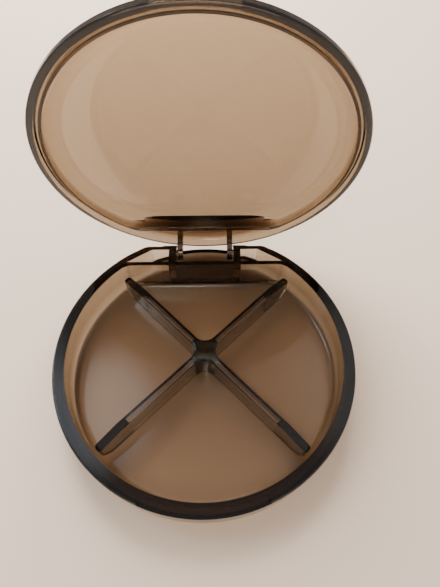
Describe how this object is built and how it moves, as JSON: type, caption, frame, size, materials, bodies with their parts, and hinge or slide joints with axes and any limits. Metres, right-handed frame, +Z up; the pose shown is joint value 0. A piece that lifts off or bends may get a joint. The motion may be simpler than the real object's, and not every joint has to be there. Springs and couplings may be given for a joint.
{
  "type": "travel pill organizer",
  "caption": "Round clear tinted pill case with a hinged lid and a loose cross divider that parts the tray into wedge compartments.",
  "frame": {"origin": "centre of the tray's round underside, on the surface it stands on", "axes": "+Z up, +Y towards the hinge at the rear, +X along the hinge axis to the right as seen from the front"},
  "size_m": [0.0664, 0.0712, 0.0687],
  "materials": {
    "smoke_plastic": "clear, smoke-brown tint, polished",
    "pin_plastic": "dark smoke tint, polished"
  },
  "bodies": {
    "tray": {"base_tray": "smoke_plastic", "divider_cross": "smoke_plastic", "hinge_pin_left": "pin_plastic", "hinge_pin_right": "pin_plastic"},
    "lid": {"lid": "smoke_plastic"}
  },
  "joints": [
    {"name": "lid_hinge", "type": "hinge", "parent": "tray", "child": "lid", "pos_m": [0, 0.0296, 0.0057], "axis": [1, 0, 0], "range_deg": [-12, 83]}
  ]
}
